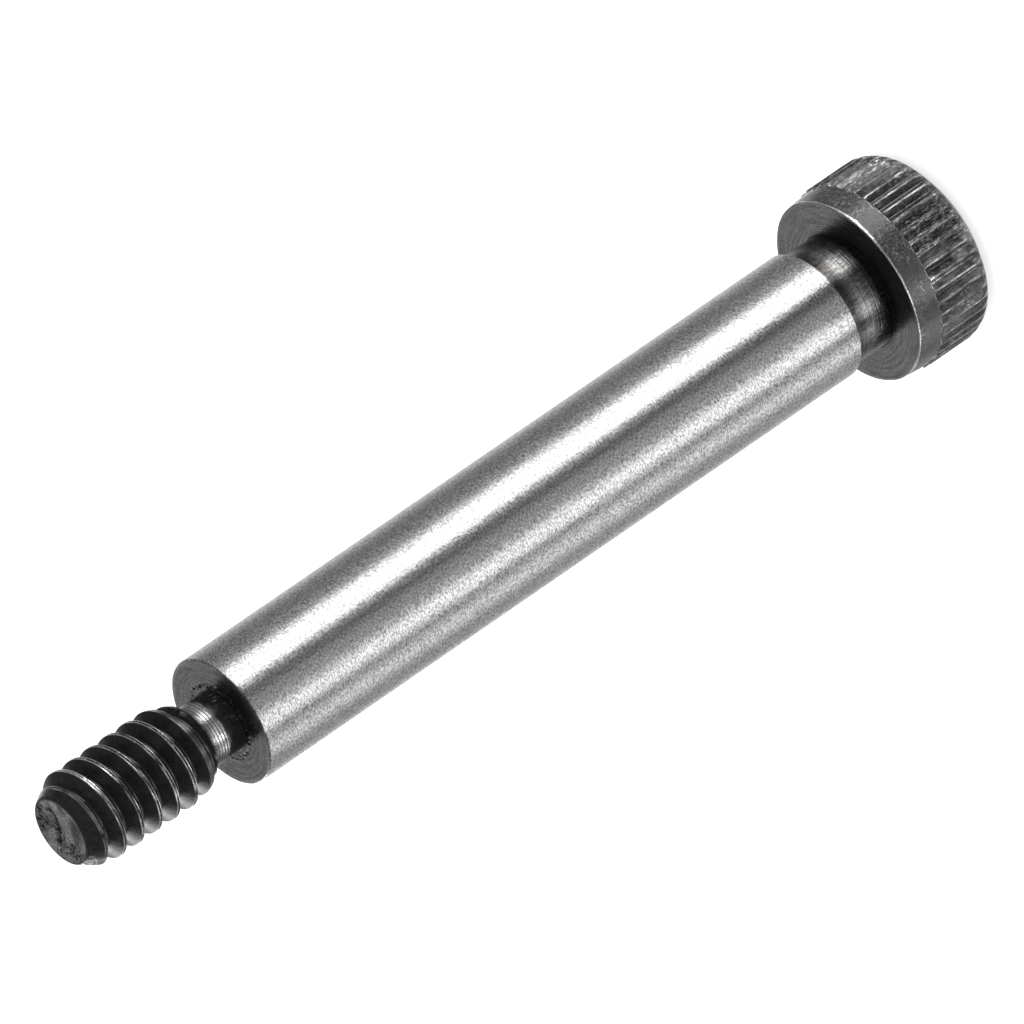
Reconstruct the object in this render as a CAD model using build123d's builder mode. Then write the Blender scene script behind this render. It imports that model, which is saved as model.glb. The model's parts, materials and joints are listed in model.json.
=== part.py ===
from build123d import *
from math import ceil, cos, radians, sin, tan
import os

# Socket head shoulder bolt: 1/4 inch shoulder, 1-1/2 inches long, with a 10-24 thread.
# Millimetres, +Z up. The bolt stands on its head: the origin is the centre of the flat
# end of the head, and the thread points up.

# Head: a knurled part with a rounded end, and a plain band beside the underside
head_diameter = 9.46
head_height = 4.775
band_height = 1.26
band_step = 0.09
band_taper = 0.1
rim_break = 0.07

# The end of the head: the knurl runs out on a round, and a chamfer leads on to the flat end
knurl_end_round = 1.2
knurl_end_angle = 41
end_chamfer_width = 0.69
end_chamfer_height = 0.46

# Straight knurl
knurl_teeth = 48
knurl_depth = 0.24
knurl_crest_width = 0.09
knurl_root_width = 0.06
knurl_start_angle = 2.3

# Hexagon socket in the end of the head
socket_across_flats = 3.2
socket_depth = 2.45
socket_drill_diameter = 3.1
socket_point_angle = 120
socket_mouth_step = 0.12

# Ground shoulder: its length counts from the head, so it holds the relief under the head
shoulder_diameter = 6.274
shoulder_length = 38.1
shoulder_break = 0.1
relief_length = 2.2
relief_depth = 0.257
relief_fillet = 0.35

# Thread, right hand
thread_length = 9.525
thread_diameter = 4.68
thread_pitch = 25.4 / 24
thread_crest_flat = 0.18
thread_root_flat = 0.168
flank_angle = 30

# Neck between the shoulder and the thread
neck_length = 1.22
neck_depth = 0.2
neck_fillet = 0.25

# Past the neck the first crests are not full: they rise from the root along a slim cone
runout_bevel_length = 0.22
runout_rise = 0.065
runout_length = 1.75
groove_lead = 0.19

# Nor are the last crests before the point
point_land_length = 0.73
point_land_rise = 0.255
point_crest_rise = 0.36
point_taper_length = 0.45
point_round = 0.35

# Radii about the Z axis
head_radius = head_diameter / 2
band_radius = head_radius - band_step
rim_radius = band_radius - band_taper
shoulder_radius = shoulder_diameter / 2
relief_radius = shoulder_radius - relief_depth
flank_slope = tan(radians(flank_angle))
thread_radius = thread_diameter / 2
thread_depth = (thread_pitch - thread_crest_flat - thread_root_flat) / 2 / flank_slope
root_radius = thread_radius - thread_depth
neck_radius = root_radius - neck_depth

# Heights above the end of the head
round_height = end_chamfer_height + knurl_end_round * sin(radians(knurl_end_angle))
underside = head_height
band_end = underside - band_height
shoulder_start = underside + relief_length
shoulder_end = underside + shoulder_length
neck_end = shoulder_end + neck_length
runout_start = neck_end + runout_bevel_length
tip = shoulder_end + thread_length
point_start = tip - point_land_length

# Knurl groove: it is cut past the crests, and widens on along its flanks
knurl_pitch_angle = 360 / knurl_teeth
knurl_root_radius = head_radius - knurl_depth
knurl_gap = radians(knurl_pitch_angle) * head_radius - knurl_crest_width
knurl_overcut = 1.5
knurl_cut_depth = knurl_overcut * knurl_depth
knurl_cut_width = knurl_root_width + knurl_overcut * (knurl_gap - knurl_root_width)

# Thread groove: it is cut past the crests, and runs out of the tip
groove_overcut = 0.1
groove_depth = thread_depth + groove_overcut
groove_width = thread_root_flat + 2 * groove_depth * flank_slope
groove_start = neck_end + groove_lead
groove_turns = ceil((tip + groove_width / 2 - groove_start) / thread_pitch)

# Socket mouth and drill point
socket_radius = socket_across_flats / 2
socket_mouth_radius = socket_radius / cos(radians(30)) + socket_mouth_step
socket_drill_radius = socket_drill_diameter / 2
socket_point_height = socket_drill_radius / tan(radians(socket_point_angle / 2))


with BuildPart() as shoulder_bolt:
    # Turned blank, drawn from the knurled side of the head to the tip
    with BuildSketch(Plane.XZ) as half_section:
        with BuildLine():
            knurl_round = JernArc(
                start=(head_radius, round_height),
                tangent=(0, -1),
                radius=knurl_end_round,
                arc_size=-knurl_end_angle,
            )
            round_end = knurl_round @ 1
            Polyline(
                round_end,
                (round_end.X - end_chamfer_width, 0),
                (0, 0),
                (0, tip),
                (root_radius + point_land_rise, tip),
                (root_radius + point_crest_rise, point_start),
                (thread_radius, point_start - point_taper_length),
                (thread_radius, runout_start + runout_length),
                (root_radius + runout_rise, runout_start),
                (neck_radius, neck_end),
                (neck_radius, shoulder_end),
                (shoulder_radius - shoulder_break, shoulder_end),
                (shoulder_radius, shoulder_end - shoulder_break),
                (shoulder_radius, shoulder_start + shoulder_break),
                (shoulder_radius - shoulder_break, shoulder_start),
                (relief_radius, shoulder_start),
                (relief_radius, underside),
                (rim_radius - rim_break, underside),
                (rim_radius, underside - rim_break),
                (band_radius, band_end),
                (head_radius, band_end),
                (head_radius, round_height),
            )
        make_face()
        corners = half_section.vertices()
        tip_corner = corners.sort_by_distance((root_radius + point_land_rise, tip))[0]
        neck_corner = corners.sort_by_distance((neck_radius, shoulder_end))[0]
        relief_corner = corners.sort_by_distance((relief_radius, underside))[0]
        fillet(tip_corner, point_round)
        fillet(neck_corner, neck_fillet)
        fillet(relief_corner, relief_fillet)
    revolve(axis=Axis.Z)

    # Knurl grooves, square where they meet the plain band
    with BuildSketch():
        with PolarLocations(
            knurl_root_radius,
            knurl_teeth,
            start_angle=knurl_start_angle + knurl_pitch_angle / 2,
        ):
            Polygon(
                (0, -knurl_root_width / 2),
                (knurl_cut_depth, -knurl_cut_width / 2),
                (knurl_cut_depth, knurl_cut_width / 2),
                (0, knurl_root_width / 2),
            )
    extrude(amount=band_end, mode=Mode.SUBTRACT)

    # Thread groove, one turn at a time
    for turn in range(groove_turns):
        with BuildLine() as turn_path:
            Helix(
                pitch=thread_pitch,
                height=thread_pitch,
                radius=root_radius,
                center=(0, 0, groove_start + turn * thread_pitch),
            )
        turn_plane = Plane(
            origin=turn_path.line @ 0,
            x_dir=(1, 0, 0),
            z_dir=turn_path.line % 0,
        )
        with BuildSketch(turn_plane):
            Polygon(
                (0, -thread_root_flat / 2),
                (groove_depth, -groove_width / 2),
                (groove_depth, groove_width / 2),
                (0, thread_root_flat / 2),
            )
        sweep(path=turn_path.line, is_frenet=True, mode=Mode.SUBTRACT)

    # Hexagon socket, with a countersunk mouth and a drill point
    with BuildSketch():
        RegularPolygon(socket_radius, side_count=6, major_radius=False)
    extrude(amount=socket_depth, mode=Mode.SUBTRACT)
    with BuildSketch(Plane.XZ):
        Polygon(
            (0, 0),
            (socket_mouth_radius, 0),
            (0, socket_mouth_radius),
        )
        Polygon(
            (0, socket_depth / 2),
            (socket_drill_radius, socket_depth / 2),
            (socket_drill_radius, socket_depth),
            (0, socket_depth + socket_point_height),
        )
    revolve(axis=Axis.Z, mode=Mode.SUBTRACT)
shoulder_bolt.part.label = "shoulder_bolt"

os.makedirs("parts", exist_ok=True)
export_step(shoulder_bolt.part, "parts/shoulder_bolt.step")
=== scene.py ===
import json
import math

import bpy
import numpy as np
from mathutils import Matrix, Vector, noise


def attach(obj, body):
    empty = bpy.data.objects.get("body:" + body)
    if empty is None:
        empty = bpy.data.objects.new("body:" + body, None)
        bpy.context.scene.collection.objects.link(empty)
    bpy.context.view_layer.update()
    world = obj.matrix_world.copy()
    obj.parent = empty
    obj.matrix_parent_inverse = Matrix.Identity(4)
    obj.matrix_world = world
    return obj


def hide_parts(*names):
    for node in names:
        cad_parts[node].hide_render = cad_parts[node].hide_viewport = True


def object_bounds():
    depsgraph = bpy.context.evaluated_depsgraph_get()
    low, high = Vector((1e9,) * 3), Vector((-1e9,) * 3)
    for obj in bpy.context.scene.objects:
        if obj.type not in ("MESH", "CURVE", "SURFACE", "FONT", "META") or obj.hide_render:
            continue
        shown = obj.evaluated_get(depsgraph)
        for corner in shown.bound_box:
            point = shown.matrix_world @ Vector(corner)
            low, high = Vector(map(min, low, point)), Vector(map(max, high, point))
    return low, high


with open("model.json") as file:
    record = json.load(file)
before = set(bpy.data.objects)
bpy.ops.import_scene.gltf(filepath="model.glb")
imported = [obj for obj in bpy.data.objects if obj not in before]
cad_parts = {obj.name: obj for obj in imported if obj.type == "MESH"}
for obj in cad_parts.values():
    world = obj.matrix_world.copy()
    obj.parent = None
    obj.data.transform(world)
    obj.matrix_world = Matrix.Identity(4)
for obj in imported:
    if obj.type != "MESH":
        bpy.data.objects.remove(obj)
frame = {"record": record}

# The bolt stands on its head, with the axis on Z. Sizes are in millimetres until a mesh or a
# place is made from them, and MM turns them into the frame's metres.
MM = 0.001

cad_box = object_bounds()
mounts = {mount["name"]: mount for mount in frame["record"]["mounts"]}

# Sizes that the frame gives
TIP = cad_box[1].z / MM
SHOULDER_RADIUS = mounts["shoulder"]["dims"]["r_mm"]
UNDERSIDE = mounts["head_seat"]["pos_m"][2] / MM
SHOULDER_END = mounts["shoulder_stop"]["pos_m"][2] / MM

# Head
HEAD_RADIUS = 4.73
BAND_END = UNDERSIDE - 1.26
BAND_RADIUS = HEAD_RADIUS - 0.09
RIM_RADIUS = BAND_RADIUS - 0.1
RIM_BREAK = 0.07
RIM_KNOCK = math.radians(300)
UNDERSIDE_EDGE = 0.16
END_ROUND = 1.2
END_ROUND_ANGLE = math.radians(41)
END_CHAMFER_WIDTH = 0.69
END_CHAMFER_HEIGHT = 0.46

# Straight knurl. It is bare and bright at two places round the head near the camera's side: partly
# wear, and partly a painted highlight.
KNURL_TEETH = 48
KNURL_ROOT_RADIUS = HEAD_RADIUS - 0.24
KNURL_CREST_WIDTH = 0.09
KNURL_ROOT_WIDTH = 0.06
KNURL_START = math.radians(2.3)
KNURL_EDGE = 0.02
MOST_RUBBED_AND_LIT = math.radians(250)
LESS_RUBBED_AND_LIT = math.radians(330)

# Hexagon socket
SOCKET_COLUMNS = 96
SOCKET_RADIUS = 1.6
SOCKET_DEPTH = 2.45
SOCKET_MOUTH_RADIUS = SOCKET_RADIUS / math.cos(math.radians(30)) + 0.12
DRILL_RADIUS = 1.55
DRILL_POINT = DRILL_RADIUS / math.tan(math.radians(60))

# Relief under the head, and the ends of the ground shoulder
RELIEF_RADIUS = SHOULDER_RADIUS - 0.257
RELIEF_END = UNDERSIDE + 2.2
RELIEF_FILLET = 0.004
SHOULDER_BREAK = 0.07
TORN_DEPTH = 0.05

# Thread
PITCH = 25.4 / 24
FLANK_SLOPE = 1 / math.tan(math.radians(30))
THREAD_RADIUS = 2.34
CREST_HALF = 0.09
ROOT_HALF = 0.084
ROOT_RADIUS = THREAD_RADIUS - (PITCH / 2 - CREST_HALF - ROOT_HALF) * FLANK_SLOPE
ROOT_ROUND = ROOT_HALF * FLANK_SLOPE
ROOT_ROUND_HALF = ROOT_ROUND * math.sin(math.radians(60))
GROOVE_START = SHOULDER_END + 1.41

# Neck, with the marks that the tool's feed leaves before the thread
NECK_RADIUS = ROOT_RADIUS - 0.2
NECK_FILLET = 0.03
MARKS_START = SHOULDER_END + 0.8
MARKS_END = SHOULDER_END + 1.67
TOOL_FEED = 0.165
TOOL_DEPTH = 0.01

# Crests that aren't full: the run-out at the neck, and the point
RUNOUT_START = SHOULDER_END + 1.92
RUNOUT_MIDDLE = SHOULDER_END + 2.45
RUNOUT_END = SHOULDER_END + 3.19
POINT_START = TIP - 0.7
POINT_TAPER = 0.45
POINT_RADIUS = ROOT_RADIUS + 0.36
TIP_RADIUS = 1.68
TIP_ROUND = 0.15
BRUISE = TIP - 2.15

# Rows of the thread, by how far they lie from the middle of a crest and of a root
CREST_ROWS = np.array([0, 0.015, 0.03, 0.05, 0.07, 0.09, 0.11, 0.125, 0.17, 0.215, 0.25, 0.29])
ROOT_ROWS = np.array([0, 0.06, 0.126])

# Columns of points around the axis, and how far from a rounded edge the next row lies, so that
# the edge doesn't shade the surface beside it
COLUMNS = 240
EVEN = np.arange(COLUMNS) * 2 * math.pi / COLUMNS
SUPPORT = 0.02

GROUND, TURNED, OXIDE_AND_CORNER_SHADE, HEAD, KNURL = range(5)


def noise_at(points, scale, seed=0.0):
    """Smooth noise from -1 to 1 at points in millimetres; scale is in waves per millimetre."""
    shift = Vector((seed, seed * 1.7, seed * 2.3))
    return np.array([noise.noise(Vector(p) * scale + shift) for p in points])


def smooth_min(a, b, width):
    """The lower of a and b, with the corner between them rounded over width."""
    share = np.clip(0.5 + 0.5 * (b - a) / width, 0, 1)
    return b * (1 - share) + a * share - width * share * (1 - share)


def step(low, high, value):
    """A smooth step from 0 at low to 1 at high."""
    share = np.clip((value - low) / (high - low), 0, 1)
    return share * share * (3 - 2 * share)


def bell(value, middle, width):
    """A bell that is 1 at middle and falls to 0 on both sides."""
    return np.exp(-(((value - middle) / width) ** 2))


def quarter(rows):
    """A quarter of a circle of radius 1, as pairs that go from (1, 0) to (0, 1)."""
    return [(1 - math.sin(turn), 1 - math.cos(turn)) for turn in np.linspace(0, math.pi / 2, rows)]


def around(angle, radius, height):
    """Points at angle, radius and height about the axis."""
    angle, radius, height = np.broadcast_arrays(angle, radius, height)
    return np.stack([radius * np.cos(angle), radius * np.sin(angle), height], 1)


class Skin:
    """One closed skin of rings about the axis, laid from the point of the socket's drill hole,
    out over the head and up to the tip. Each point has a share of bright metal: wear in most
    places, and painted highlights and painted shade in a few."""

    def __init__(self):
        self.points = np.empty((0, 3))
        self.wear_and_painted_light = np.empty(0)
        self.faces = []
        self.kinds = []

    def add(self, points, wear_and_painted_light=0.0):
        """Adds points, and returns their indices."""
        first = len(self.points)
        self.points = np.concatenate([self.points, points])
        self.wear_and_painted_light = np.concatenate([self.wear_and_painted_light, np.broadcast_to(wear_and_painted_light, len(points))])
        return np.arange(first, len(self.points))

    def face(self, corners, kind):
        """Adds a face, without the corners that repeat."""
        kept = [int(c) for i, c in enumerate(corners) if c != corners[i - 1]]
        if len(set(kept)) > 2:
            self.faces.append(kept)
            self.kinds.append(kind)

    def join(self, low, high, kind):
        """Joins two rings that have the same columns, and returns the second one."""
        for corners in zip(low, np.roll(low, -1), np.roll(high, -1), high):
            self.face(corners, kind)
        return high

    def sew(self, low, high, kind):
        """Joins two rings that have different columns, both sorted by angle from about zero."""
        low_angle, high_angle = self.angles(low), self.angles(high)
        i = j = 0
        while i < len(low) or j < len(high):
            at_low, at_high = low[i % len(low)], high[j % len(high)]
            if j == len(high) or (i < len(low) and low_angle[i + 1] <= high_angle[j + 1]):
                i += 1
                self.face([at_low, low[i % len(low)], at_high], kind)
            else:
                j += 1
                self.face([at_low, high[j % len(high)], at_high], kind)

    def angles(self, ring):
        """The angles of a ring's points, rising from about zero, with the first one repeated."""
        x, y = self.points[ring, 0], self.points[ring, 1]
        turn = np.unwrap(np.arctan2(y, x))
        return np.append(turn, turn[0] + 2 * math.pi)

    def close(self, ring, centre, kind, first):
        """Closes a ring with a fan of faces. first says that the fan comes before the ring."""
        middle = self.add(np.array([centre]))[0]
        for a, b in zip(ring, np.roll(ring, -1)):
            self.face([middle, b, a] if first else [middle, a, b], kind)

    def turn(self, angle, low, rows, kind):
        """Adds rings of (radius, height, share of bright metal) rows from ring low, and returns
        the last ring.
        """
        for radius, height, wear_and_painted_light in rows:
            low = self.join(low, self.add(around(angle, radius, height), wear_and_painted_light), kind)
        return low


def make_socket(skin):
    """The hexagon socket, from the drill point out to its mouth on the end of the head."""
    angle = np.arange(SOCKET_COLUMNS) * 2 * math.pi / SOCKET_COLUMNS
    off = (angle + math.radians(30)) % math.radians(60) - math.radians(30)
    flats = SOCKET_RADIUS / np.cos(math.radians(30) - np.abs(off))
    drill = skin.add(around(angle, DRILL_RADIUS, SOCKET_DEPTH))
    skin.close(drill, (0, 0, SOCKET_DEPTH + DRILL_POINT), HEAD, True)
    rows = [
        (flats, SOCKET_DEPTH, 0),
        (flats, SOCKET_MOUTH_RADIUS - flats, 0),
        (SOCKET_MOUTH_RADIUS, 0, 0.3),
    ]
    return skin.turn(angle, drill, rows, HEAD)


def knurl_angles():
    """The columns of the knurl: the same angles about each groove's middle."""
    beside = np.radians([0.383, 1.3, 2.11, 2.8, 3.08, 3.3])
    tooth = np.concatenate([-beside[::-1], [0], beside, [math.pi / KNURL_TEETH]])
    middles = KNURL_START + (np.arange(KNURL_TEETH) + 0.5) * 2 * math.pi / KNURL_TEETH
    return (middles[:, None] + tooth[None, :]).ravel()


def knurl_radius(angle):
    """The radius of the knurled surface, where the end of the head doesn't cut it off."""
    pitch = 2 * math.pi / KNURL_TEETH
    tooth = np.round((angle - KNURL_START) / pitch - 0.5)
    off = angle - KNURL_START - (tooth + 0.5) * pitch
    gap_half = (pitch * HEAD_RADIUS - KNURL_CREST_WIDTH) / 2
    slope = (gap_half - KNURL_ROOT_WIDTH / 2) / (HEAD_RADIUS - KNURL_ROOT_RADIUS)
    root = KNURL_ROOT_RADIUS / np.cos(off)
    flank = (slope * KNURL_ROOT_RADIUS - KNURL_ROOT_WIDTH / 2) / (
        slope * np.cos(off) - np.sin(np.abs(off))
    )
    return smooth_min(np.maximum(root, flank), HEAD_RADIUS, KNURL_EDGE)


def knurl_rows():
    """The outline that cuts off the knurl, as (radius, height): a round, then straight up."""
    round_height = END_CHAMFER_HEIGHT + END_ROUND * math.sin(END_ROUND_ANGLE)
    rows = [
        (HEAD_RADIUS - END_ROUND * (1 - math.cos(turn)), round_height - END_ROUND * math.sin(turn))
        for turn in np.linspace(END_ROUND_ANGLE, 0, 11)
    ]
    heights = np.linspace(round_height, BAND_END - 0.04, 7)[1:]
    return rows + [(HEAD_RADIUS, height) for height in [*heights, BAND_END]]


def make_knurl(skin, mouth):
    """The end of the head and the knurl. Returns the first ring of the plain band."""
    angle = knurl_angles()
    rows = knurl_rows()
    low = skin.add(around(angle, rows[0][0] - END_CHAMFER_WIDTH, 0))
    skin.sew(mouth, low, HEAD)
    full = knurl_radius(angle)
    # One edge of each crest is brighter than the other all round the head: a painted highlight on
    # the edge that catches the light, over the crests' wear.
    lit_edge_share = np.tile([0.25] * 7 + [1.0] * 7, KNURL_TEETH)
    crest = step(HEAD_RADIUS - 0.016, HEAD_RADIUS - 0.004, full) * lit_edge_share
    # Bright bare patches at the two places near the camera's side: partly wear, partly a painted
    # highlight.
    rubbed_and_painted_highlight = 0.528 * bell(angle, MOST_RUBBED_AND_LIT, 0.22) + 0.288 * bell(angle, LESS_RUBBED_AND_LIT, 0.3)
    for limit, height in rows:
        points = around(angle, smooth_min(full, limit, KNURL_EDGE), height)
        uneven = noise_at(points, 1.6, 3.0) + 0.7 * noise_at(points, 5.0, 1.0)
        lip = step(BAND_END - 0.02, BAND_END, height) * step(-0.2, 0.3, noise_at(points, 1.2, 7.0))
        worn_and_painted_light = np.maximum(crest * step(-0.3, 0.5, uneven), lip)
        base = 0.03 + rubbed_and_painted_highlight * step(-0.2, 0.45, noise_at(points, 2.0, 6.0))
        low = skin.join(low, skin.add(points, base + 0.65 * worn_and_painted_light), KNURL)
    band = [(BAND_RADIUS, BAND_END, 0.8), (BAND_RADIUS - 0.004, BAND_END + 0.03, 0.1)]
    return skin.turn(angle, low, band, HEAD)


def make_rim(skin, low):
    """The plain band, its rim, which is worn unevenly and knocked in one place, and the head's
    underside, which goes dark at the relief's corner as painted shade. Returns the ring at the
    relief's corner."""
    band = skin.add(around(EVEN, BAND_RADIUS - 0.02, BAND_END + 0.25), 0.08)
    skin.sew(low, band, HEAD)
    rim = around(EVEN, RIM_RADIUS, 0)
    uneven = 0.9 * np.maximum(noise_at(rim, 1.1, 2.0), 0) + 0.35 * noise_at(rim, 4.0, 4.0)
    worn_and_painted_light = RIM_BREAK * (0.55 + uneven + 0.9 * bell(EVEN, RIM_KNOCK, 0.3))
    width, depth = 0.4 * worn_and_painted_light, 1.3 * worn_and_painted_light
    rows = [(RIM_RADIUS + 0.008, UNDERSIDE - depth - 0.03, 0.08)]
    rows += [(RIM_RADIUS - width * b, UNDERSIDE - depth * a, 0.95) for a, b in quarter(6)]
    low = skin.turn(EVEN, band, rows, HEAD)
    inner = RELIEF_RADIUS + RELIEF_FILLET
    radii = np.linspace(RIM_RADIUS - UNDERSIDE_EDGE, inner + 0.06, 7)
    face = [(radius, UNDERSIDE, 0.65) for radius in radii]
    # The face loses its bright metal at the corner, and its last narrow rings get the near-black
    # oxide: painted shade in the corner under the head.
    low = skin.turn(EVEN, low, face + [(inner + 0.05, UNDERSIDE, 0)], TURNED)
    corner = [(inner + SUPPORT, UNDERSIDE, 0), (inner, UNDERSIDE, 0)]
    return skin.turn(EVEN, low, corner, OXIDE_AND_CORNER_SHADE)


def make_relief(skin, low):
    """The relief under the head, from its inner corner to the shoulder. Its bright middle is a
    painted highlight, and its dark ends, by the head's underside and by the shoulder, are painted
    shade.
    """
    # The fillet in the corner gets the near-black oxide too: painted shade.
    fillet = [
        (RELIEF_RADIUS + RELIEF_FILLET * a, UNDERSIDE + RELIEF_FILLET * b, 0)
        for a, b in quarter(8)[1:]
    ]
    low = skin.turn(EVEN, low, fillet, OXIDE_AND_CORNER_SHADE)
    start = UNDERSIDE + RELIEF_FILLET + SUPPORT
    heights = np.linspace(start, RELIEF_END, 9)
    # Bright metal only in the middle, none at the corner under the head nor at the shoulder: a
    # painted highlight in the middle, painted shade at both ends.
    wear_and_painted_light = 0.48 * step(RELIEF_END - 0.35, RELIEF_END - 1.0, heights)
    wear_and_painted_light = wear_and_painted_light * step(start, start + 0.7, heights)
    rows = [(RELIEF_RADIUS, height, worn_and_painted_light) for height, worn_and_painted_light in zip(heights, wear_and_painted_light)]
    return skin.turn(EVEN, low, rows, TURNED)


def make_shoulder(skin, low):
    """The ground shoulder, with a small round on each edge."""
    edge = [
        (SHOULDER_RADIUS - SHOULDER_BREAK * a, SHOULDER_BREAK * b)
        for a, b in quarter(5)
    ]
    inset = SHOULDER_BREAK + SUPPORT
    heights = np.linspace(RELIEF_END + inset, SHOULDER_END - inset, 6)
    rows = [(radius, RELIEF_END + height, 1.0) for radius, height in edge]
    rows += [(SHOULDER_RADIUS, height, 1.0) for height in heights]
    rows += [(radius, SHOULDER_END - height, 1.0) for radius, height in reversed(edge)]
    return skin.turn(EVEN, low, rows, GROUND)


def make_end_face(skin, low):
    """The shoulder's end face, torn in a ring round the neck."""
    inner = NECK_RADIUS + NECK_FILLET
    for radius in [2.9, 2.6, 2.3, 2.1, *np.arange(2.02, inner, -0.04), inner]:
        points = around(EVEN, radius, SHOULDER_END)
        ragged = noise_at(points, 7.0, 5.0) + 0.8 * noise_at(points, 15.0, 9.0)
        points[:, 2] -= TORN_DEPTH * step(2.0, 1.9, radius) * step(1.66, 1.74, radius) * ragged
        ring = skin.add(points, 0.65 * step(inner, inner + 0.05, radius))
        low = skin.join(low, ring, TURNED)
    return low


def make_neck(skin, low):
    """The neck: dark and specked beside the shoulder, then bright between its tool marks. The
    bright marks are strongest on the sides towards and away from the camera, a painted highlight.
    """
    rows = [
        (NECK_RADIUS + NECK_FILLET * a, SHOULDER_END + NECK_FILLET * b)
        for a, b in quarter(5)[1:]
    ]
    heights = [
        *np.linspace(SHOULDER_END + 0.06, MARKS_START - 0.1, 6),
        *np.arange(MARKS_START - 0.05, MARKS_END, TOOL_FEED / 6),
        MARKS_END,
    ]
    rows += [(NECK_RADIUS, height) for height in heights]
    # The bright metal is strongest on the sides towards and away from the camera and weak at the
    # outlines: a painted highlight, carried on by the patches below.
    painted_highlight_sides = 0.2 + 0.8 * step(0.4, 0.8, np.abs(np.sin(EVEN)))
    for radius, height in rows:
        points = around(EVEN, radius, height)
        marks = height + 0.15 * noise_at(points, 2.0, 6.0)
        marks = step(MARKS_START, MARKS_START + 0.15, marks)
        wave = math.cos(2 * math.pi * (height - MARKS_START) / TOOL_FEED)
        cut = marks * max(0.0, wave) ** 3
        specks = 0.5 * step(0.25, 0.6, noise_at(points, 9.0, 3.0))
        specks = specks * step(0.0, 0.5, noise_at(points, 1.5, 8.0))
        patches = (0.8 + 1.2 * noise_at(points, 1.3, 11.0)) * painted_highlight_sides
        patches = patches * (1 - 0.6 * step(MARKS_END - 0.4, MARKS_END, height))
        wear_and_painted_light = marks * (1 - cut) * patches + (1 - marks) * specks
        ring = skin.add(around(EVEN, radius - TOOL_DEPTH * cut, height), np.clip(wear_and_painted_light, 0, 1))
        low = skin.join(low, ring, OXIDE_AND_CORNER_SHADE)
    return low


def blank_radius(height):
    """The turned blank that the thread is rolled on, from the neck to the tip's round."""
    profile = [
        (MARKS_END, NECK_RADIUS),
        (RUNOUT_START, ROOT_RADIUS + 0.18),
        (RUNOUT_MIDDLE, ROOT_RADIUS + 0.43),
        (RUNOUT_END, THREAD_RADIUS),
        (POINT_START - POINT_TAPER, THREAD_RADIUS),
        (POINT_START, POINT_RADIUS),
        (TIP, TIP_RADIUS),
    ]
    return np.interp(height, *zip(*profile))


def groove_radius(from_root):
    """The radius of the groove's rounded root and straight flanks."""
    inside_round = np.minimum(from_root, ROOT_ROUND_HALF)
    root = ROOT_RADIUS + ROOT_ROUND - np.sqrt(ROOT_ROUND**2 - inside_round**2)
    flank = ROOT_RADIUS + (from_root - ROOT_HALF) * FLANK_SLOPE
    return np.where(from_root < ROOT_ROUND_HALF, root, flank)


def full_crest_wear(from_crest, radius, uneven, bruise):
    """How much of a full crest is worn: its two lips, and here and there the seam between."""
    between = np.maximum(step(0.04, 0.065, from_crest), step(0.15, 0.4, uneven))
    lip = step(0.105, 0.085, from_crest) * np.maximum(between, bruise)
    return lip * step(THREAD_RADIUS - 0.12, THREAD_RADIUS - 0.03, radius)


def low_crest_wear(over, height, uneven):
    """The same for the crests that aren't full, which have a lip on each side of a wider seam.
    over is how far the groove's flank would stand out of the blank."""
    on_point = step(POINT_START - 0.3, POINT_START - 0.1, height)
    on_runout = step(RUNOUT_END - 0.6, RUNOUT_END - 0.9, height) * step(-0.1, 0.4, uneven)
    lips = bell(over, 0.02, 0.035) + 0.7 * bell(over, 0.24, 0.04)
    return (1.4 * on_point + 0.8 * on_runout) * lips


def thread_surface(angle, height):
    """The thread's radius and wear. Rolling leaves two rounded lips on each crest, with a thin
    seam between them."""
    turn = (height - GROOVE_START) / PITCH - angle / (2 * math.pi)
    from_root = np.abs((turn + 0.5) % 1 - 0.5) * PITCH
    from_crest = PITCH / 2 - from_root
    # The last groove is deeper where it reaches the edge of the tip, and stops there
    centre = GROOVE_START + PITCH * (np.round(turn) + angle / (2 * math.pi))
    stop = step(TIP - 0.2, TIP + 0.02, centre)
    body = groove_radius(from_root) - 0.05 * step(TIP - 0.6, TIP - 0.25, centre) + 0.9 * stop
    points = around(angle, THREAD_RADIUS, height)
    rough = noise_at(points, 2.2, 1.0)
    fine = noise_at(points, 6.0, 2.0)
    # The second crest from the tip is bruised
    bruise = step(0.55, 0.35, np.abs(height - angle / (2 * math.pi) * PITCH - BRUISE))
    bruise = bruise * step(-0.1, 0.3, noise_at(points, 0.7, 15.0))
    seam = (0.028 + 0.01 * rough) * bell(from_crest, 0, 0.032)
    crest = THREAD_RADIUS - seam - (0.006 + 0.03 * bruise) * np.maximum(fine, 0)
    blank = blank_radius(height)
    radius = smooth_min(smooth_min(crest, body, 0.035), blank, 0.02)
    # Each lip is worn on its own
    lip_shift = np.zeros_like(points)
    lip_shift[:, 0] = (turn % 1 > 0.5) * 3.0
    patchy = noise_at(points + lip_shift, 1.6, 9.0)
    wear_and_painted_light = full_crest_wear(from_crest, radius, rough + 0.5 * fine, bruise)
    wear_and_painted_light = wear_and_painted_light * (0.5 + 1.1 * patchy + 0.5 * bruise)
    wear_and_painted_light += low_crest_wear(body - blank, height, rough + fine) * (0.55 + 0.9 * patchy) * (1 - stop)
    return radius, np.clip(wear_and_painted_light, 0, 1)


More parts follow.
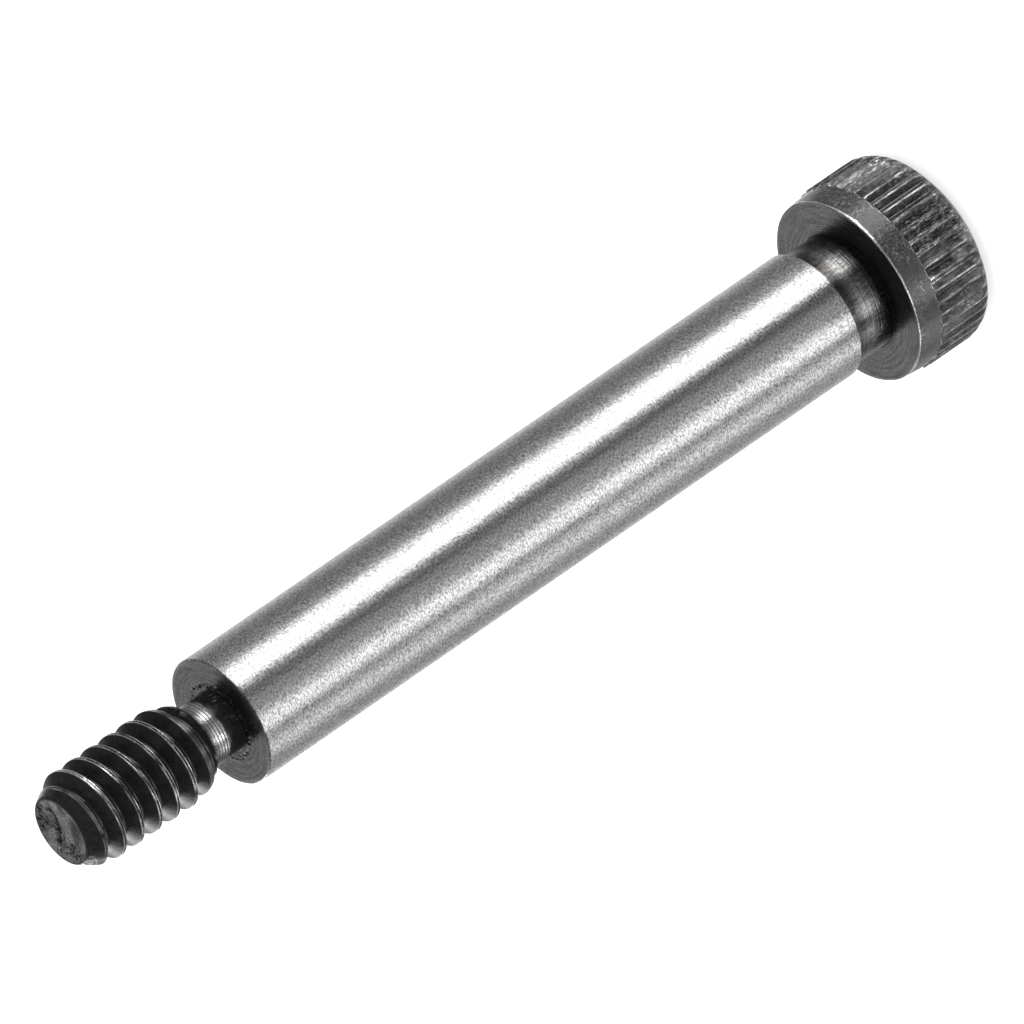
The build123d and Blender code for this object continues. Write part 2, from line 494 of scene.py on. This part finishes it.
def make_thread(skin, low):
    """The thread. Its rows follow the helix, so that each crest lies along a row, and end on a
    level ring at the neck and at the tip."""
    crest, root = CREST_ROWS / PITCH, ROOT_ROWS / PITCH
    offsets = np.unique(np.concatenate([0.5 - crest, 0.5 + crest, root, 1 - root[1:]]))
    start, end = MARKS_END + 0.05, TIP - TIP_ROUND + 0.04
    first = math.floor((start - GROOVE_START) / PITCH) - 1
    last = math.ceil((end - GROOVE_START) / PITCH)
    levels = (np.arange(first, last + 1)[:, None] + offsets[None, :]).ravel()
    angle = np.append(EVEN, 2 * math.pi)
    heights = GROOVE_START + PITCH * (levels[:, None] + angle[None, :] / (2 * math.pi))

    def level_ring(height):
        radius, wear_and_painted_light = thread_surface(EVEN, np.full(COLUMNS, height))
        return skin.add(around(EVEN, radius, height), wear_and_painted_light)

    bottom = skin.join(low, level_ring(start), OXIDE_AND_CORNER_SHADE)
    top = level_ring(end)
    ids = np.full(heights.shape, -1)
    columns = np.broadcast_to(np.arange(COLUMNS + 1) % COLUMNS, heights.shape)
    below = heights <= start + 0.004
    above = heights >= end - 0.004
    ids[below] = bottom[columns[below]]
    ids[above] = top[columns[above]]
    between = ~below & ~above
    between[:, -1] = False
    angles = np.broadcast_to(angle, heights.shape)[between]
    radius, wear_and_painted_light = thread_surface(angles, heights[between])
    ids[between] = skin.add(around(angles, radius, heights[between]), wear_and_painted_light)
    # The last column is the first one, a turn further on
    ids[: -len(offsets), -1] = ids[len(offsets) :, 0]
    ids[ids[:, -1] < 0, -1] = top[0]
    corners = np.stack([ids[:-1, :-1], ids[:-1, 1:], ids[1:, 1:], ids[1:, :-1]], 2)
    for face in corners.reshape(-1, 4):
        skin.face(face, OXIDE_AND_CORNER_SHADE)
    return top


def tip_dents(points):
    """How deep the tip's end face lies under its highest level: it is sheared, so its far part is
    pitted, and a torn fold runs into its middle."""
    x, y = points[:, 0], points[:, 1]
    inside = step(1.62, 1.45, np.hypot(x, y))
    smooth_patch = step(0.55, 0.3, np.hypot(x, y - 1.05))
    pitted = step(-0.5, 0.0, y - 0.3 * x + 0.5 * noise_at(points, 1.5, 4.0)) * (1 - smooth_patch)
    cells = noise_at(points, 5.0, 6.0) + 0.8 * noise_at(points, 9.0, 8.0)
    cells = cells + 0.5 * noise_at(points, 14.0, 2.0)
    fold_line = 0.12 - 0.45 * np.sin(2.4 * (x - 0.16)) + 0.12 * noise_at(points, 3.5, 7.0)
    fold = bell(y, fold_line, 0.06 + 0.07 * step(0.5, 0.0, x))
    fold = fold * step(-0.5, -0.2, x) * step(1.25, 1.0, x)
    soft = 0.012 * (1 + noise_at(points, 2.5, 5.0))
    return inside * (soft + 0.09 * pitted * np.maximum(cells, 0) + 0.2 * fold)


def make_tip(skin, low):
    """The rounded edge of the tip, and its end face with pits and a fold."""
    lean = math.atan((POINT_RADIUS - TIP_RADIUS) / (TIP - POINT_START))
    centre_height = TIP - TIP_ROUND
    centre_radius = blank_radius(centre_height) - TIP_ROUND / math.cos(lean)
    for turn in np.linspace(lean, math.pi / 2, 10)[1:]:
        height = centre_height + TIP_ROUND * math.sin(turn)
        radius, _ = thread_surface(EVEN, np.full(COLUMNS, height))
        radius = np.minimum(radius, centre_radius + TIP_ROUND * math.cos(turn))
        low = skin.join(low, skin.add(around(EVEN, radius, height)), OXIDE_AND_CORNER_SHADE)
    for radius in np.linspace(centre_radius, 0.06, 24)[1:]:
        points = around(EVEN, radius, TIP)
        dents = tip_dents(points)
        wear_and_painted_light = 0.4 * step(0.05, 0.0, dents) * step(-0.5, 0.7, noise_at(points, 2.0, 12.0))
        points[:, 2] -= dents
        low = skin.join(low, skin.add(points, wear_and_painted_light), HEAD)
    skin.close(low, (0, 0, TIP - 0.02), HEAD, False)


def mesh_object(name, points, faces):
    """A new object in the scene, from points in millimetres."""
    mesh = bpy.data.meshes.new(name)
    mesh.from_pydata((np.array(points) * MM).tolist(), [], faces)
    thing = bpy.data.objects.new(name, mesh)
    bpy.context.scene.collection.objects.link(thing)
    return thing


def make_bolt():
    """The whole bolt as one mesh object."""
    skin = Skin()
    ring = make_socket(skin)
    for make_part in (
        make_knurl,
        make_rim,
        make_relief,
        make_shoulder,
        make_end_face,
        make_neck,
        make_thread,
        make_tip,
    ):
        ring = make_part(skin, ring)
    bolt = mesh_object("bolt", skin.points, skin.faces)
    mesh = bolt.data
    mesh.polygons.foreach_set("material_index", skin.kinds)
    mesh.polygons.foreach_set("use_smooth", [True] * len(mesh.polygons))
    mesh.set_sharp_from_angle(angle=math.radians(33))
    wear_and_painted_light = mesh.attributes.new("wear_and_painted_light", "FLOAT", "POINT")
    wear_and_painted_light.data.foreach_set("value", skin.wear_and_painted_light.astype(np.float32))
    mesh.update()
    return bolt


class Nodes:
    """Short forms for the nodes of one material or world."""

    def __init__(self, tree):
        self.tree = tree
        tree.nodes.clear()

    def new(self, kind, **values):
        node = self.tree.nodes.new(kind)
        for name, value in values.items():
            setattr(node, name, value)
        return node

    def link(self, value, socket):
        if isinstance(value, bpy.types.NodeSocket):
            self.tree.links.new(value, socket)
        else:
            socket.default_value = value

    def output(self, shader, kind="ShaderNodeOutputMaterial"):
        self.link(shader.outputs[0], self.new(kind).inputs[0])

    def math(self, operation, *values):
        """One operation on values, taken in turn where there are more than two."""
        node = self.new("ShaderNodeMath", operation=operation)
        for value, socket in zip(values[:2], node.inputs):
            self.link(value, socket)
        if len(values) > 2:
            return self.math(operation, node.outputs[0], *values[2:])
        return node.outputs[0]

    def range(self, value, low, high, to_low=0.0, to_high=1.0, smooth=False):
        kind = "SMOOTHSTEP" if smooth else "LINEAR"
        node = self.new("ShaderNodeMapRange", interpolation_type=kind)
        names = ("Value", "From Min", "From Max", "To Min", "To Max")
        for name, number in zip(names, (value, low, high, to_low, to_high)):
            self.link(number, node.inputs[name])
        return node.outputs[0]

    def noise(self, place, scale, detail, roughness=0.5):
        node = self.new("ShaderNodeTexNoise")
        self.link(place, node.inputs["Vector"])
        node.inputs["Scale"].default_value = scale
        node.inputs["Detail"].default_value = detail
        node.inputs["Roughness"].default_value = roughness
        return node.outputs["Fac"]

    def mix(self, share, low, high):
        node = self.new("ShaderNodeMix", data_type="RGBA")
        for value, index in ((share, 0), (low, 6), (high, 7)):
            self.link(value, node.inputs[index])
        return node.outputs[2]

    def vector(self, x, y, z):
        node = self.new("ShaderNodeCombineXYZ")
        for value, socket in zip((x, y, z), node.inputs):
            self.link(value, socket)
        return node.outputs[0]

    def place(self):
        """Object coordinates in millimetres: the vector, and its x, y and z."""
        coordinates = self.new("ShaderNodeTexCoord")
        scaled = self.new("ShaderNodeVectorMath", operation="SCALE")
        self.link(coordinates.outputs["Object"], scaled.inputs[0])
        scaled.inputs["Scale"].default_value = 1 / MM
        parts = self.new("ShaderNodeSeparateXYZ")
        self.link(scaled.outputs[0], parts.inputs[0])
        return scaled.outputs[0], *parts.outputs

    def from_axis(self, x, y):
        """The distance from the bolt's axis."""
        squares = self.math("ADD", self.math("MULTIPLY", x, x), self.math("MULTIPLY", y, y))
        return self.math("SQRT", squares)

    def wear_and_painted_light(self):
        """The mesh's share of bright metal: wear, and in a few places painted highlights and
        painted shade.
        """
        return self.new("ShaderNodeAttribute", attribute_name="wear_and_painted_light").outputs["Fac"]

    def bump(self, height, depth, normal=None):
        """A normal from a height map whose full range is depth millimetres."""
        node = self.new("ShaderNodeBump")
        node.inputs["Strength"].default_value = 1.0
        node.inputs["Distance"].default_value = depth * MM
        self.link(height, node.inputs["Height"])
        if normal is not None:
            self.link(normal, node.inputs["Normal"])
        return node.outputs[0]

    def seen(self):
        """1 for the rays that show the background, which are camera, glossy and transmission
        rays, and 0 for the rays that light the bolt."""
        paths = self.new("ShaderNodeLightPath").outputs
        seen = self.math("MAXIMUM", paths["Is Camera Ray"], paths["Is Glossy Ray"])
        return self.math("MAXIMUM", seen, paths["Is Transmission Ray"])


def grey(level, warm=0.0):
    """A grey with a slight warm cast."""
    return (level * (1 + warm), level, level * (1 - warm), 1.0)


def new_material(name):
    """A new material, and its nodes."""
    material = bpy.data.materials.new(name)
    material.use_nodes = True
    return material, Nodes(material.node_tree)


def metal(name):
    """A new metallic material, its nodes, and its shader."""
    material, nodes = new_material(name)
    shader = nodes.new("ShaderNodeBsdfPrincipled")
    shader.inputs["Metallic"].default_value = 1.0
    nodes.output(shader)
    return material, nodes, shader


def ground_steel():
    """Bright steel, ground round the axis: the fine marks spread highlights along it."""
    material, nodes, shader = metal("ground_steel")
    place, x, y, z = nodes.place()
    marks = nodes.vector(
        nodes.math("MULTIPLY", x, 8.0),
        nodes.math("MULTIPLY", y, 8.0),
        nodes.math("MULTIPLY", z, 20.0),
    )
    streaks = nodes.noise(marks, 1.0, 1.5, 0.6)
    grain = nodes.noise(place, 9.0, 1.0, 0.6)
    colour = nodes.mix(nodes.range(streaks, 0.4, 0.6), grey(0.29), grey(0.78))
    nodes.link(colour, shader.inputs["Base Color"])
    shader.inputs["Roughness"].default_value = 0.34
    shader.inputs["Anisotropic"].default_value = 1.0
    shader.inputs["Anisotropic Rotation"].default_value = 0.25
    tangent = nodes.new("ShaderNodeTangent", direction_type="RADIAL", axis="Z")
    nodes.link(tangent.outputs[0], shader.inputs["Tangent"])
    relief = nodes.bump(grain, 0.006, nodes.bump(streaks, 0.008))
    nodes.link(relief, shader.inputs["Normal"])
    return material


def turned_steel():
    """Darker turned faces and relief, with fine rings left by the tool."""
    material, nodes, shader = metal("turned_steel")
    _, x, y, z = nodes.place()
    along = nodes.math("MULTIPLY", z, 15.0)
    across = nodes.vector(
        nodes.math("MULTIPLY", nodes.from_axis(x, y), 9.0),
        nodes.math("ADD", nodes.math("MULTIPLY", x, 0.8), along),
        nodes.math("MULTIPLY", y, 0.8),
    )
    rings = nodes.noise(across, 1.0, 2.0, 0.6)
    drawn_out = nodes.vector(x, y, nodes.math("MULTIPLY", z, 0.25))
    stipple = nodes.noise(drawn_out, 10.0, 3.0, 0.65)
    shade = nodes.math("MULTIPLY", rings, 0.4)
    shade = nodes.math("ADD", shade, nodes.math("MULTIPLY", stipple, 0.6))
    part = nodes.range(shade, 0.4, 0.6)
    dull = nodes.mix(part, grey(0.02, 0.04), grey(0.1, 0.04))
    bright = nodes.mix(part, grey(0.24, 0.01), grey(0.56, 0.01))
    nodes.link(nodes.mix(nodes.wear_and_painted_light(), dull, bright), shader.inputs["Base Color"])
    nodes.link(nodes.range(stipple, 0.3, 0.7, 0.15, 0.27), shader.inputs["Roughness"])
    relief = nodes.bump(stipple, 0.006, nodes.bump(rings, 0.015))
    nodes.link(relief, shader.inputs["Normal"])
    return material


def oxide(name, coats, warm, dent, flecks, stretch=1.0):
    """A dark oxide coat with a low sheen, bare steel where the mesh gives it bright metal, which
    is wear and in places a painted highlight. coats are its darkest and lightest greys, dent is
    the depth of its unevenness, flecks says how bare its high spots are, outside and inside the
    patches that are rubbed most, and stretch draws them out along the axis."""
    material, nodes, shader = metal(name)
    place, x, y, z = nodes.place()
    mottle = nodes.noise(place, 4.0, 4.0, 0.65)
    grain = nodes.noise(nodes.vector(x, y, nodes.math("DIVIDE", z, stretch)), 11.0, 2.0, 0.6)
    patch = nodes.range(nodes.noise(place, 0.7, 1.0), 0.45, 0.6, *flecks)
    coat = nodes.mix(nodes.range(mottle, 0.4, 0.65), *(grey(level, warm) for level in coats))
    rubbed_and_painted_highlight = nodes.math("MULTIPLY", nodes.wear_and_painted_light(), nodes.range(grain, 0.35, 0.6, 0.4, 1.0))
    high_spots = nodes.range(grain, 0.46, 0.64)
    high_spots = nodes.math("MULTIPLY", high_spots, nodes.range(mottle, 0.42, 0.6), patch)
    bare = nodes.math("MINIMUM", nodes.math("ADD", rubbed_and_painted_highlight, high_spots), 1.0)
    nodes.link(nodes.mix(bare, coat, grey(0.75, 0.01)), shader.inputs["Base Color"])
    nodes.link(bare, shader.inputs["Metallic"])
    dullness = nodes.range(mottle, 0.3, 0.7, 0.16, 0.26)
    smoothed = nodes.math("SUBTRACT", dullness, nodes.math("MULTIPLY", bare, 0.08))
    nodes.link(smoothed, shader.inputs["Roughness"])
    relief = nodes.bump(mottle, dent, nodes.bump(grain, 0.4 * dent))
    nodes.link(relief, shader.inputs["Normal"])
    return material


def thread_oxide_and_corner_shade():
    """The even, near-black oxide of the neck and the rolled thread, also laid in the corner under
    the head as painted shade.
    """
    return oxide("thread_oxide_and_corner_shade", (0.013, 0.022), 0.03, 0.008, (0.0, 0.0))


def head_oxide():
    """The mottled oxide of the head's plain faces and of the sheared tip."""
    return oxide("head_oxide", (0.008, 0.024), 0.01, 0.02, (0.0, 0.35))


def knurl_oxide():
    """The rough, brownish oxide of the knurl, with bare high spots."""
    return oxide("knurl_oxide", (0.006, 0.03), 0.06, 0.03, (0.15, 0.7), 3.0)


def window(nodes, azimuth, inner, outer, level):
    """A window in the tent: its level, between soft edges given as pairs of degrees."""
    rise = nodes.range(azimuth, *inner, smooth=True)
    fall = nodes.range(azimuth, *outer, 1.0, 0.0, smooth=True)
    return nodes.math("MULTIPLY", rise, fall, level)


def sheet_light(nodes, azimuth):
    """The tent's sheet: pale cloth with windows that run straight along the bolt."""
    return nodes.math(
        "ADD",
        # The brightest, on the bolt's upper side in the picture, and its weak edge
        window(nodes, azimuth, (30, 36), (58, 75), 3.9),
        window(nodes, azimuth, (60, 70), (72, 108), 0.45),
        # The next, on its lower side, and its weak edge
        window(nodes, azimuth, (-60, -50), (-44, -20), 2.3),
        window(nodes, azimuth, (-50, -40), (-30, -4), 0.3),
        # Weaker ones towards both outlines, and between the two bright ones
        window(nodes, azimuth, (-112, -90), (-86, -66), 1.15),
        window(nodes, azimuth, (-34, -12), (2, 8), 0.28),
        window(nodes, azimuth, (-184, -150), (-66, -60), 0.26),
        window(nodes, azimuth, (118, 158), (172, 190), 0.95),
        # A darker strip of cloth beside the brightest
        window(nodes, azimuth, (6, 12), (22, 30), -0.12),
        0.32,
    )


def wall_light(nodes, azimuth, z):
    """The tent's wall: dark in front, pale low down at the sides and behind, with one glow that
    the lower sides of the thread's flanks mirror."""
    away = nodes.math("ABSOLUTE", azimuth)
    side = nodes.range(away, 95, 115, smooth=True)
    back = nodes.range(away, 140, 165, smooth=True)
    glow = window(nodes, azimuth, (-168, -156), (-146, -128), 3.2)
    low = nodes.range(z, 60, 190, 1.0, 0.0, smooth=True)
    glow_low = nodes.range(z, 60, 330, 1.0, 0.0, smooth=True)
    high = nodes.range(z, 330, 430, 1.0, 0.0, smooth=True)
    return nodes.math(
        "ADD",
        nodes.math("MULTIPLY", side, low, 0.2),
        nodes.math("MULTIPLY", glow, glow_low),
        nodes.math("MULTIPLY", back, high, 0.3),
        0.1,
    )


def tent_cloth():
    """The tent's material. Azimuths are in degrees from the camera's side towards +X."""
    material, nodes = new_material("tent_cloth")
    _, x, y, z = nodes.place()
    turn = nodes.math("ARCTAN2", x, nodes.math("MULTIPLY", y, -1.0))
    # A ray that the shoulder mirrors starts beside the axis, so the windows lean with the radius
    lean = nodes.math("SINE", nodes.math("MULTIPLY", turn, 0.5))
    lean = nodes.math("MULTIPLY", lean, SHOULDER_RADIUS)
    lean = nodes.math("DIVIDE", lean, nodes.from_axis(x, y))
    azimuth = nodes.math("DEGREES", nodes.math("ADD", turn, lean))
    light = nodes.new("ShaderNodeMix", data_type="FLOAT")
    nodes.link(nodes.range(z, 11, 16), light.inputs[0])
    nodes.link(sheet_light(nodes, azimuth), light.inputs[2])
    nodes.link(wall_light(nodes, azimuth, z), light.inputs[3])
    emission = nodes.new("ShaderNodeEmission")
    nodes.link(light.outputs[0], emission.inputs["Strength"])
    nodes.output(emission)
    return material


def make_tent():
    """A light tent that only reflections see: a wide pale sheet just above the floor, and a round
    wall with a roof."""
    profile = [(5.6, 0.15), (12, 0.4), (60, 2), (400, 12), (400, 500), (1, 560)]
    sides = 96
    angle = np.arange(sides) * 2 * math.pi / sides
    points = np.concatenate([around(angle, radius, height) for radius, height in profile])
    rings = np.arange(len(points)).reshape(-1, sides)
    beside = np.roll(rings, -1, 1)
    faces = np.stack([rings[:-1], beside[:-1], beside[1:], rings[1:]], 2).reshape(-1, 4)
    tent = mesh_object("tent", points, faces.tolist())
    tent.data.materials.append(tent_cloth())
    tent.visible_camera = False
    tent.visible_diffuse = False
    tent.visible_shadow = False


def make_floor():
    """A plain pale floor. What the lamps leave short of white, the floor adds for the rays that
    see the background, so the bolt's shadow stays."""
    side = 3000
    corners = [(-side, -side, 0), (side, -side, 0), (side, side, 0), (-side, side, 0)]
    floor = mesh_object("floor", corners, [(0, 1, 2, 3)])
    material, nodes = new_material("floor")
    diffuse = nodes.new("ShaderNodeBsdfDiffuse")
    diffuse.inputs["Color"].default_value = grey(0.8)
    emission = nodes.new("ShaderNodeEmission")
    nodes.link(nodes.math("MULTIPLY", nodes.seen(), 0.7), emission.inputs["Strength"])
    both = nodes.new("ShaderNodeAddShader")
    nodes.link(diffuse.outputs[0], both.inputs[0])
    nodes.link(emission.outputs[0], both.inputs[1])
    nodes.output(both)
    floor.data.materials.append(material)


def make_world():
    """A soft grey light from all round, which is white where it is seen."""
    world = bpy.data.worlds.new("world")
    bpy.context.scene.world = world
    world.use_nodes = True
    nodes = Nodes(world.node_tree)
    background = nodes.new("ShaderNodeBackground")
    background.inputs["Color"].default_value = grey(1.0)
    nodes.link(nodes.range(nodes.seen(), 0, 1, 0.75, 1.0), background.inputs["Strength"])
    nodes.output(background, "ShaderNodeOutputWorld")


def make_lamp():
    """One soft lamp above, for the bolt's shadow on the floor."""
    data = bpy.data.lights.new("lamp", "AREA")
    data.size = 300 * MM
    data.energy = 0.25
    lamp = bpy.data.objects.new("lamp", data)
    lamp.location = Vector((0, 0, 400)) * MM
    lamp.visible_glossy = False
    bpy.context.scene.collection.objects.link(lamp)


def make_camera():
    """The photo's camera: a long lens, low over the shoulder's end, rolled so that the bolt lies
    across the picture with its tip at the lower left."""
    image_side = 1024
    distance = 1149.0
    elevation = math.radians(28.84)
    pixels_per_mm = 22.793
    roll = math.radians(34.453)
    aim_height = 22.44
    off_along, off_across = 2.291, 0.362
    forward = Vector((0, math.cos(elevation), -math.sin(elevation)))
    to_head = Vector((0, -math.sin(elevation), -math.cos(elevation)))
    across = Vector((-1, 0, 0))
    right = math.cos(roll) * to_head + math.sin(roll) * across
    up = math.sin(roll) * to_head - math.cos(roll) * across
    aim = Vector((0, 0, aim_height)) - off_along * to_head - off_across * across
    data = bpy.data.cameras.new("camera")
    data.sensor_width = 36
    data.lens = pixels_per_mm * distance / image_side * data.sensor_width
    data.clip_start = 0.1
    data.clip_end = 20
    camera = bpy.data.objects.new("camera", data)
    turned = Matrix((right, up, -forward)).transposed().to_4x4()
    camera.matrix_world = Matrix.Translation((aim - distance * forward) * MM) @ turned
    bpy.context.scene.collection.objects.link(camera)
    bpy.context.scene.camera = camera


bolt = make_bolt()
for make_material in (ground_steel, turned_steel, thread_oxide_and_corner_shade, head_oxide, knurl_oxide):
    bolt.data.materials.append(make_material())
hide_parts("shoulder_bolt")
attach(bolt, "root")

make_tent()
make_floor()
make_world()
make_lamp()
make_camera()
bpy.context.scene.view_settings.view_transform = "Standard"
